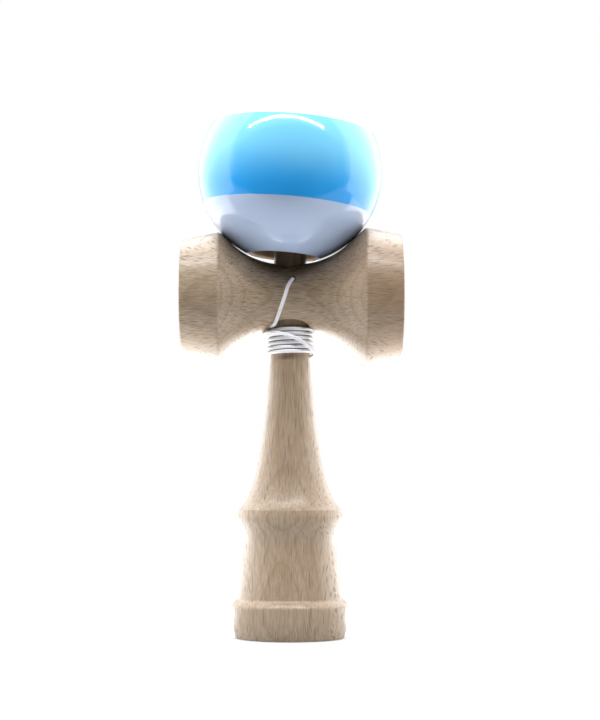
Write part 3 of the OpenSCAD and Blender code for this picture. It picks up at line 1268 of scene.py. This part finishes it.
@dataclass
class Ball:
    """The ball: painted outside, bare wood in the spike's hole and the string's hole.

    Its middle and its lean come from the joint that it spins on.
    """

    radius: float = 30.0 * MM
    socket_d: float = 21.6 * MM
    socket_bevel: float = 0.9 * MM
    socket_top: float = 19.376 * MM
    hole_d: float = 2.4 * MM
    hole_run: float = 1.0 * MM
    top_bevel: float = 1.6 * MM
    brim_inset: float = 0.12 * MM
    rim_round: float = 0.3 * MM
    brim_round: float = 0.25 * MM
    hole_round: float = 0.2 * MM
    socket_round: float = 0.5 * MM
    segments: int = 224
    middle: Vector = field(init=False)
    axis: Vector = field(init=False)

    def __post_init__(self) -> None:
        """Takes the ball's middle and its lean from the joint that it spins on."""
        spin = next(joint for joint in frame["joints"] if joint["name"] == "tama_spin")
        self.middle = Vector(spin["pos_m"])
        self.axis = Vector(spin["axis"])

    def at(self, up: float) -> Point:
        """The point this far up the ball's axis from its middle."""
        return tuple(self.middle + self.axis * up)

    def outline(self) -> Outline:
        """Draws the half section.

        Returns:
            The outline, which closes on itself round the two holes.
        """
        socket_r, hole_r = self.socket_d / 2, self.hole_d / 2
        rim_r = socket_r + self.socket_bevel
        rim = math.degrees(math.acos(rim_r / self.radius))
        rim_z = -math.sqrt(self.radius**2 - rim_r**2)
        neck_z = self.radius - self.top_bevel
        brim_r = hole_r + self.top_bevel - self.brim_inset
        brim = math.degrees(math.acos(brim_r / self.radius))
        line = Outline().to(socket_r, 0.0)
        line.to(socket_r, rim_z + self.socket_bevel, self.rim_round)
        line.mark = BallSkin.PAINTED.value
        line.arc(0.0, self.radius, -rim, brim, rounding=self.rim_round).soften(self.brim_round)
        line.to(hole_r, neck_z, self.rim_round)
        line.mark = BallSkin.BARE.value
        line.to(hole_r, neck_z - self.hole_run)
        line.to(hole_r, self.socket_top, self.hole_round)
        return line.to(socket_r, self.socket_top, self.socket_round)

    def build(self) -> bpy.types.Object:
        """Turns and dresses the ball.

        Returns:
            The ball.
        """
        bare = Beech(Grain.UPRIGHT, Surface.BARE, cut=(22.0, 41.0, 0.0)).material("ball_bare")
        paint = BallPaint().material("ball_paint", self.middle, self.axis)
        lathe = Lathe(tuple(self.middle), tuple(self.axis), self.segments)
        piece = lathe.turn("ball", self.outline(), [bare, paint], ring=True)
        return settle(piece, "tama", "ball_paint", "tama")


@dataclass
class StopBead:
    """The bead inside the ball that the string's knot pulls against."""

    ball: Ball
    diameter: float = 9.0 * MM
    bottom: float = 11.576 * MM
    height: float = 7.5 * MM
    rounding: float = 1.2 * MM
    hole_d: float = 2.4 * MM
    pocket_d: float = 4.6 * MM
    pocket_depth: float = 4.0 * MM
    rim_round: float = 0.3 * MM
    inner_round: float = 0.2 * MM
    segments: int = 72

    def build(self) -> bpy.types.Object:
        """Turns and dresses the bead.

        Returns:
            The bead.
        """
        bead_r, hole_r, pocket_r = self.diameter / 2, self.hole_d / 2, self.pocket_d / 2
        top, pocket_top = self.bottom + self.height, self.bottom + self.pocket_depth
        line = Outline().to(pocket_r, self.bottom + self.pocket_depth / 2)
        line.to(pocket_r, self.bottom, self.rim_round)
        line.to(bead_r, self.bottom, self.rounding)
        line.to(bead_r, top, self.rounding)
        line.to(hole_r, top, self.rim_round)
        line.to(hole_r, pocket_top, self.inner_round)
        line.to(pocket_r, pocket_top, self.inner_round)
        wood = Beech(
            Grain.UPRIGHT,
            cut=(12.0, 19.0, 0.0),
            pale=(0.50, 0.34, 0.2),
            deep=(0.40, 0.26, 0.145),
            late=(0.30, 0.18, 0.095),
        ).material("bead_beech")
        lathe = Lathe(tuple(self.ball.middle), tuple(self.ball.axis), self.segments)
        piece = lathe.turn("stop_bead", line, [wood], ring=True)
        return settle(piece, "string_end", "bead_wood", "bead")


@dataclass(frozen=True)
class Braid:
    """A skin of crossing strands, laid along a line of points.

    Attributes:
        radius: The braid's radius, over its strands.
        relief: How deep the hollows between the strands are.
        cell: The length in which a strand crosses one other.
        carriers: How many strands run each way.
        sides: How many sides the braid's tube has.
        dip: How far a strand sinks where it goes under.
    """

    radius: float = 0.6 * MM
    relief: float = 0.09 * MM
    cell: float = 1.25 * MM
    carriers: int = 4
    sides: int = 18
    dip: float = 0.4

    def along(self, name: str, points: Sequence[Vector], finish: bpy.types.Material) -> bpy.types.Object:
        """Braids one stretch of string.

        Args:
            name: The piece's name.
            points: The line that it follows, closely spaced.
            finish: Its material.

        Returns:
            The piece, as a plain mesh.
        """
        line = bpy.data.meshes.new(f"{name}_line")
        line.from_pydata([tuple(p) for p in points], [(i, i + 1) for i in range(len(points) - 1)], [])
        shown = show(name, line)
        modifier = shown.modifiers.new("braid", "NODES")
        modifier.node_group = self._tree()
        values = {
            "Radius": self.radius,
            "Relief": self.relief,
            "Cell": self.cell,
            "Carriers": float(self.carriers),
            "Sides": self.sides,
            "Finish": finish,
        }
        for item in modifier.node_group.interface.items_tree:
            if item.in_out == "INPUT" and item.name in values:
                modifier[item.identifier] = values[item.name]
        mesh = evaluated_mesh(shown)
        shown.modifiers.clear()
        shown.data = mesh
        bpy.data.meshes.remove(line)
        return shown

    def _tree(self) -> bpy.types.NodeTree:
        """Builds the geometry nodes that turn a line into a braid.

        Returns:
            The tree, with the braid's sizes and its finish as inputs.
        """
        tree = bpy.data.node_groups.new("braid", "GeometryNodeTree")
        tree.interface.new_socket("Geometry", in_out="OUTPUT", socket_type="NodeSocketGeometry")
        for name, kind in (
            ("Geometry", "Geometry"),
            ("Radius", "Float"),
            ("Relief", "Float"),
            ("Cell", "Float"),
            ("Carriers", "Float"),
            ("Sides", "Int"),
            ("Finish", "Material"),
        ):
            tree.interface.new_socket(name, in_out="INPUT", socket_type=f"NodeSocket{kind}")
        graph = Graph(tree)
        given = graph.node("NodeGroupInput").outputs
        spline = graph.node("GeometryNodeSplineParameter")
        path = graph.node("GeometryNodeMeshToCurve", sockets={0: given["Geometry"]})
        path = self._store(graph, path, "run", graph.term(spline, "Length"))
        circle = graph.node(
            "GeometryNodeCurvePrimitiveCircle",
            sockets={"Resolution": given["Sides"], "Radius": given["Radius"]},
        )
        circle = self._store(graph, circle, "turn", graph.term(spline, "Factor"))
        tube = graph.node(
            "GeometryNodeCurveToMesh",
            sockets={"Curve": path.outputs[0], "Profile Curve": circle.outputs[0], "Fill Caps": True},
        )
        tube = self._store(graph, tube, RELIEF, self._relief(graph, given))
        rise = (self._named(graph, RELIEF) - 1.0) * Term(graph, given["Relief"])
        normal = graph.node("GeometryNodeInputNormal")
        push = graph.node(
            "ShaderNodeVectorMath", {"operation": "SCALE"}, {0: normal.outputs[0], "Scale": rise}
        )
        tube = graph.node(
            "GeometryNodeSetPosition", sockets={"Geometry": tube.outputs[0], "Offset": push.outputs[0]}
        )
        tube = graph.node("GeometryNodeSetShadeSmooth", sockets={0: tube.outputs[0]})
        tube = graph.node("GeometryNodeRealizeInstances", sockets={0: tube.outputs[0]})
        tube = graph.node(
            "GeometryNodeSetMaterial", sockets={0: tube.outputs[0], "Material": given["Finish"]}
        )
        graph.node("NodeGroupOutput", sockets={0: tube.outputs[0]})
        return tree

    @staticmethod
    def _store(graph: Graph, source: bpy.types.Node, name: str, value: Term) -> bpy.types.Node:
        """Stores a value on the points of a geometry.

        Args:
            graph: The tree's graph.
            source: The node that gives the geometry.
            name: The value's name.
            value: The value.

        Returns:
            The node that gives the geometry with the value.
        """
        return graph.node(
            "GeometryNodeStoreNamedAttribute",
            {"data_type": "FLOAT", "domain": "POINT"},
            {"Geometry": source.outputs[0], "Name": name, "Value": value},
        )

    @staticmethod
    def _named(graph: Graph, name: str) -> Term:
        """A value stored on the geometry."""
        made = graph.node("GeometryNodeInputNamedAttribute", {"data_type": "FLOAT"}, {"Name": name})
        return graph.term(made)

    def _relief(self, graph: Graph, given: Any) -> Term:
        """Works out how high the strands stand: two sets that cross over and under.

        Args:
            graph: The tree's graph.
            given: The tree's inputs, by name.

        Returns:
            The height, from 0 in the hollows to 1 on top of a strand.
        """
        turn = self._named(graph, "turn") * Term(graph, given["Carriers"])
        run = self._named(graph, "run") / Term(graph, given["Cell"])
        heights: list[Term] = []
        for own, other, shift in ((turn + run, turn - run, -0.5), (turn - run, turn + run, 0.5)):
            across = graph.math("FRACT", own) * 2.0 - 1.0
            strand = graph.math("SQRT", graph.math("MAXIMUM", 1.0 - across * across, 0.0))
            wave = graph.math("COSINE", (other + graph.math("FLOOR", own) + shift) * math.pi)
            heights.append(strand * (wave * self.dip + (1.0 - self.dip)))
        return graph.math("MAXIMUM", *heights)


@dataclass
class PlayString:
    """The string: knotted in the handle, wound round the neck, and up behind to the ball.

    Attributes:
        ball: The ball that it leads to.
        diameter: The string's diameter.
        length: Its whole length.
        knot_d: The diameter of its knots.
        knot_steps: How many points a knot's line has.
        knot_braid: The tighter braid of the knots.
        anchor: The middle of the knot in the handle.
        exit: Where it leaves the cross-piece.
        wind_r: The distance of the turns from the neck's axis.
        wind_top: The height of the first turn.
        pitch: The distance from turn to turn.
        turns: How many turns it makes.
        turn_steps: How many points a turn has.
        tail_top: Where it enters the ball, up the ball's axis from its middle.
        tail_run: The first stretch down from there.
        tail_end: The place of its last knot.
        spacing: The distance between the points of its line.
        lead: Its route from the cross-piece down to the first turn.
        crossing: Its route from the last turn, round and across the front of the turns.
        riser: Its route up behind the cross-piece and the ball.
    """

    ball: Ball
    diameter: float = 1.2 * MM
    length: float = 0.48
    knot_d: float = 3.4 * MM
    knot_steps: int = 180
    knot_braid: Braid = Braid(radius=0.42 * MM, relief=0.06 * MM, cell=0.9 * MM, sides=12)
    anchor: Point = (0.001, 0.00286, 0.1141)
    exit: Point = (0.001, -0.00911, 0.1141)
    wind_r: float = 6.97 * MM
    wind_top: float = 99.4 * MM
    pitch: float = 1.42 * MM
    turns: int = 6
    turn_steps: int = 24
    tail_top: float = 27.4 * MM
    tail_run: float = 0.3 * MM
    tail_end: float = 13.776 * MM
    spacing: float = 0.18 * MM
    lead: tuple[Point, ...] = (
        (0.00095, -0.0099, 0.11405), (0.0007, -0.0107, 0.1137), (0.0002, -0.0113, 0.113),
        (-0.0004, -0.0116, 0.112), (-0.0009, -0.0117, 0.1107), (-0.0013, -0.0117, 0.1094),
        (-0.0017, -0.0116, 0.1081), (-0.00215, -0.0113, 0.1068), (-0.0026, -0.0109, 0.1055),
        (-0.00305, -0.0103, 0.1043), (-0.0035, -0.00955, 0.1031), (-0.00395, -0.0087, 0.1019),
        (-0.0044, -0.0077, 0.1008), (-0.0049, -0.0066, 0.0999), (-0.0055, -0.0051, 0.0995),
        (-0.00625, -0.0033, 0.09945), (-0.00697, -0.001, 0.09943),
    )
    crossing: tuple[Point, ...] = (
        (-0.00697, 0.001, 0.09085), (-0.0062, 0.0034, 0.0907), (-0.0048, 0.0054, 0.0905),
        (-0.0027, 0.00675, 0.0903), (-0.0003, 0.0073, 0.09015), (0.0022, 0.00695, 0.0901),
        (0.0046, 0.00565, 0.0901), (0.0064, 0.0035, 0.0901), (0.0074, 0.0007, 0.0902),
        (0.0078, -0.0021, 0.09075), (0.0072, -0.00415, 0.0917), (0.0059, -0.0059, 0.09285),
        (0.00415, -0.0072, 0.094), (0.00215, -0.008, 0.0951), (0.0, -0.0083, 0.096),
        (-0.00215, -0.008, 0.0966), (-0.00415, -0.0072, 0.09705), (-0.0059, -0.0059, 0.09735),
        (-0.0072, -0.00415, 0.0974), (-0.008, -0.00215, 0.0973), (-0.00835, 0.0, 0.0971),
    )
    riser: tuple[Point, ...] = (
        (-0.008, 0.0022, 0.0972), (-0.0072, 0.0043, 0.0975), (-0.0059, 0.0062, 0.0982),
        (-0.0046, 0.0077, 0.0994), (-0.0035, 0.0089, 0.1013), (-0.0026, 0.01, 0.1036),
        (-0.0018, 0.0113, 0.1061), (-0.0012, 0.0127, 0.1087), (-0.0007, 0.0142, 0.1114),
        (-0.0003, 0.0157, 0.114), (0.0, 0.0172, 0.1167), (0.0003, 0.0187, 0.1193),
        (0.0006, 0.0202, 0.122), (0.0008, 0.0217, 0.1247), (0.001, 0.0232, 0.1274),
        (0.0012, 0.0247, 0.1303), (0.0014, 0.0261, 0.1332), (0.0015, 0.0276, 0.1362),
        (0.0015, 0.0289, 0.1392), (0.0016, 0.0298, 0.1424), (0.0016, 0.0304, 0.1457),
        (0.0017, 0.0307, 0.149), (0.0017, 0.0306, 0.1523), (0.0018, 0.0302, 0.1556),
        (0.0018, 0.0294, 0.1588), (0.0019, 0.0282, 0.1619), (0.0019, 0.0266, 0.1651),
        (0.002, 0.0247, 0.168), (0.002, 0.0225, 0.1707), (0.0021, 0.02, 0.1731),
        (0.0021, 0.0173, 0.1752), (0.0022, 0.0143, 0.177), (0.0022, 0.0112, 0.1785),
        (0.0023, 0.008, 0.1798), (0.0023, 0.0053, 0.1807), (0.0024, 0.0033, 0.1809),
        (0.0024, 0.0015, 0.1803), (0.0023, 0.0004, 0.179),
    )

    def route(self) -> list[Vector]:
        """Draws the string's whole line.

        Returns:
            Its points, closely and evenly spaced.
        """
        wound: list[Point] = []
        for step in range(self.turns * self.turn_steps + 1):
            share = step / self.turn_steps
            angle = 2 * math.pi * share
            wound.append((
                -self.wind_r * math.cos(angle),
                self.wind_r * math.sin(angle),
                self.wind_top - self.pitch * share,
            ))
        heights = (self.tail_top, self.tail_top - self.tail_run, self.tail_end)
        tail = [self.ball.at(height) for height in heights]
        points = [self.anchor, self.exit, *self.lead, *wound, *self.crossing, *self.riser, *tail]
        return even_line(np.array(points), self.spacing)

    def knot_line(self, middle: Point) -> list[Vector]:
        """Draws the line of a tight knot.

        Args:
            middle: The knot's middle.

        Returns:
            The points of the line.
        """
        # This knot's line reaches out to three times its size
        size = (self.knot_d / 2 - self.knot_braid.radius) / 3
        made: list[Vector] = []
        for angle in np.linspace(0.0, 2 * math.pi, self.knot_steps, endpoint=False):
            made.append(Vector(middle) + size * Vector((
                math.sin(angle) + 2 * math.sin(2 * angle),
                math.sin(3 * angle),
                math.cos(angle) - 2 * math.cos(2 * angle),
            )))
        return made

    def build(self, bead: bpy.types.Object) -> bpy.types.Object:
        """Args:
            bead: The stop bead on the string's end, which is not used.

        Returns:
            The string.
        """
        finish = WhiteYarn().material("string_yarn")
        tight = self.knot_braid
        fixed = tight.along("anchor_knot_tied", self.knot_line(self.anchor), finish)
        loose = tight.along("tail_knot_tied", self.knot_line(self.ball.at(self.tail_end)), finish)
        settle(fixed, "ken", "string", "anchor_knot")
        settle(loose, "string_end", "string", "tail_knot")
        line = self.route()
        cord = Braid(radius=self.diameter / 2).along("string", line, finish)
        names = ("anchor", "lead", "winding", "crossing", "riser", "tail")
        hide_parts(*(f"string_{name}" for name in names))
        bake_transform(cord)
        LOG.info("string: %d faces, %d points", len(cord.data.polygons), len(line))
        return cord


def even_line(
    points: np.ndarray, spacing: float, oversampling: int = 3, least: int = 3
) -> list[Vector]:
    """Draws a smooth line through points.

    Args:
        points: The points that it goes through, in order.
        spacing: The distance between the points of the new line.
        oversampling: How many points the line is worked out at for each new one.
        least: The least number of these points on a stretch between two of the given ones.

    Returns:
        Evenly spaced points on the line.
    """
    gap = np.linalg.norm(np.diff(points, axis=0), axis=1)
    slope = np.diff(points, axis=0) / gap[:, None]
    tangent = np.vstack([
        slope[:1],
        (slope[:-1] * gap[1:, None] + slope[1:] * gap[:-1, None]) / (gap[:-1] + gap[1:])[:, None],
        slope[-1:],
    ])
    fine: list[np.ndarray] = [points[0]]
    for i, length in enumerate(gap):
        steps = max(least, round(length / spacing * oversampling))
        for t in np.linspace(0.0, 1.0, steps)[1:]:
            fine.append(
                (2 * t**3 - 3 * t * t + 1) * points[i]
                + (t**3 - 2 * t * t + t) * length * tangent[i]
                + (3 * t * t - 2 * t**3) * points[i + 1]
                + (t**3 - t * t) * length * tangent[i + 1]
            )
    dense = np.array(fine)
    run = np.concatenate([[0.0], np.cumsum(np.linalg.norm(np.diff(dense, axis=0), axis=1))])
    places = np.linspace(0.0, run[-1], round(run[-1] / spacing) + 1)
    return [Vector([np.interp(place, run, dense[:, k]) for k in range(3)]) for place in places]


# Studio


@dataclass(frozen=True)
class Lamp:
    """An area light, which the camera doesn't see.

    Attributes:
        name: The light's name.
        at: Its middle.
        size: Its width and height.
        level: How bright it looks, where white paper is 1.
        turn: Its turn from shining straight down, in degrees.
        target: The point that it is turned to instead, if there is one.
    """

    name: str
    at: Point
    size: Pair
    level: float
    turn: Point = (0.0, 0.0, 0.0)
    target: Point | None = None

    def build(self) -> None:
        """Hangs the light."""
        data = bpy.data.lights.new(self.name, "AREA")
        data.shape = "RECTANGLE"
        data.size, data.size_y = self.size
        data.energy = self.level * math.pi * self.size[0] * self.size[1]
        light = bpy.data.objects.new(self.name, data)
        light.location = self.at
        light.rotation_euler = self._turned()
        light.visible_camera = False
        bpy.context.scene.collection.objects.link(light)

    def _turned(self) -> Point:
        """Finds the light's turn.

        Returns:
            The turn about X, Y and Z, in radians.
        """
        if self.target is None:
            return tuple(math.radians(angle) for angle in self.turn)
        way = Vector(self.target) - Vector(self.at)
        return tuple(way.to_track_quat("-Z", "Y").to_euler())


@dataclass
class Studio:
    """A white tent with an open front: the camera, the lights, the floor and the white around.

    Attributes:
        eye: The camera's place.
        pitch_up: How far it looks up, in degrees.
        lens: Its focal length in millimetres.
        sensor: The height of its sensor in millimetres.
        near: The distance from which it sees.
        ambient: The level of the light from all around.
        floor_size: The floor's length and width.
        floor_z: The floor's height, just under the toy.
        paper: The floor's tone.
        glow_span: The distances from the toy at which the floor starts and ends fading to white.
        glow: How far it has faded at these distances.
        curtain: The tone of the dark room.
        curtain_half: Half its width.
        curtain_y: The place of its upright part.
        curtain_top: The height of that part.
        apron_y: Where the part on the floor starts.
        apron_z: The height of that part.
        lamps: The lights.
    """

    eye: Point = (0.0032, -0.540, 0.0469)
    pitch_up: float = 4.44
    lens: float = 83.75
    sensor: float = 36.0
    near: float = 0.01
    ambient: float = 0.05
    floor_size: float = 6.0
    floor_z: float = -0.1 * MM
    paper: Colour = alike(0.68)
    glow_span: Pair = (0.04, 0.3)
    glow: Pair = (0.25, 1.0)
    curtain: Colour = alike(0.03)
    curtain_half: float = 2.2
    curtain_y: float = -0.75
    curtain_top: float = 1.1
    apron_y: float = -0.17
    apron_z: float = 0.5 * MM
    lamps: tuple[Lamp, ...] = (
        Lamp("panel_left", at=(-0.42, 0.373, 0.4), size=(0.9, 0.95), level=2.05, turn=(0.0, -90.0, 0.0)),
        Lamp("panel_right", at=(0.42, 0.373, 0.4), size=(0.9, 0.95), level=2.05, turn=(0.0, 90.0, 0.0)),
        Lamp("reflector", at=(0.0, 0.26, 2 * MM), size=(0.8, 0.5), level=3.1, turn=(180.0, 0.0, 0.0)),
        Lamp("ceiling", at=(0.0, 0.425, 0.9), size=(0.8, 0.85), level=5.7),
        Lamp("strip", at=(-0.04, -0.324, 0.75), size=(1.09, 0.035), level=72.0, target=(0.0, 0.0, 0.15)),
    )

    def build(self) -> None:
        """Sets up everything round the toy."""
        self._camera()
        self._world()
        self._floor()
        self._curtain()
        for lamp in self.lamps:
            lamp.build()

    def _camera(self) -> None:
        """Sets up the camera, at the photograph's viewing angle."""
        data = bpy.data.cameras.new("camera")
        data.lens = self.lens
        data.sensor_fit = "VERTICAL"
        data.sensor_height = self.sensor
        data.clip_start = self.near
        camera = bpy.data.objects.new("camera", data)
        camera.location = self.eye
        camera.rotation_euler = (math.radians(90.0 + self.pitch_up), 0.0, 0.0)
        bpy.context.scene.collection.objects.link(camera)
        bpy.context.scene.camera = camera
        bpy.context.scene.view_settings.view_transform = "Standard"

    def _world(self) -> None:
        """Makes the world white to look at, and a dimmer light from all around."""
        world = bpy.data.worlds.new("tent")
        world.use_nodes = True
        bpy.context.scene.world = world
        graph = Graph(world.node_tree)
        level = graph.seen() * (1.0 - self.ambient) + self.ambient
        white = {"Color": rgba(alike(1.0)), "Strength": level}
        shade = graph.node("ShaderNodeBackground", sockets=white)
        graph.node("ShaderNodeOutputWorld", sockets={"Surface": shade.outputs[0]})

    def _floor(self) -> None:
        """Lays a white floor that keeps the toy's shadow and fades into the white around."""
        material, graph = new_material("floor_white")
        x, y, _ = graph.split(graph.place())
        away = graph.math("SQRT", x * x + y * y)
        share = graph.ramp(away, *self.glow_span, self.glow) * graph.seen()
        paper = graph.node("ShaderNodeBsdfDiffuse", sockets={"Color": rgba(self.paper)})
        white = {"Color": rgba(alike(1.0)), "Strength": 1.0}
        glow = graph.node("ShaderNodeEmission", sockets=white)
        mixed = graph.node(
            "ShaderNodeMixShader", sockets={0: share, 1: paper.outputs[0], 2: glow.outputs[0]}
        )
        graph.node("ShaderNodeOutputMaterial", sockets={"Surface": mixed.outputs[0]})
        half, low = self.floor_size / 2, self.floor_z
        corners = [(-half, -half, low), (half, -half, low), (half, half, low), (-half, half, low)]
        self._sheet("floor", corners, [(0, 1, 2, 3)], material)

    def _curtain(self) -> None:
        """Hangs the dark room behind the camera, which only reflections show."""
        material, graph = new_material("curtain_dark")
        dark = graph.node("ShaderNodeBsdfDiffuse", sockets={"Color": rgba(self.curtain)})
        graph.node("ShaderNodeOutputMaterial", sockets={"Surface": dark.outputs[0]})
        half, far, near = self.curtain_half, self.curtain_y, self.apron_y
        low, top = self.apron_z, self.curtain_top
        apron = [(half, near, low), (-half, near, low), (-half, far, low), (half, far, low)]
        upper_edge = [(-half, far, top), (half, far, top)]
        sheet = self._sheet("curtain", apron + upper_edge, [(0, 1, 2, 3), (3, 2, 4, 5)], material)
        sheet.visible_camera = False
        sheet.visible_shadow = False
        sheet.visible_transmission = False

    @staticmethod
    def _sheet(
        name: str,
        corners: Sequence[Point],
        faces: Sequence[tuple[int, ...]],
        material: bpy.types.Material,
    ) -> bpy.types.Object:
        """Adds a sheet of the studio.

        Args:
            name: Its name.
            corners: Its corners.
            faces: The numbers of the corners of each of its faces.
            material: Its material.

        Returns:
            The sheet.
        """
        mesh = bpy.data.meshes.new(name)
        mesh.from_pydata(corners, [], faces)
        mesh.materials.append(material)
        sheet = show(name, mesh)
        return sheet


def main() -> None:
    """Builds the toy and its studio."""
    logging.basicConfig(level=logging.INFO, format="%(name)s: %(message)s")
    Studio().build()
    ball = Ball()
    bead = StopBead(ball).build()
    PlayString(ball).build(bead)
    Handle().build()
    CrossPiece().build()
    ball.build()


if __name__ == "__main__":
    main()
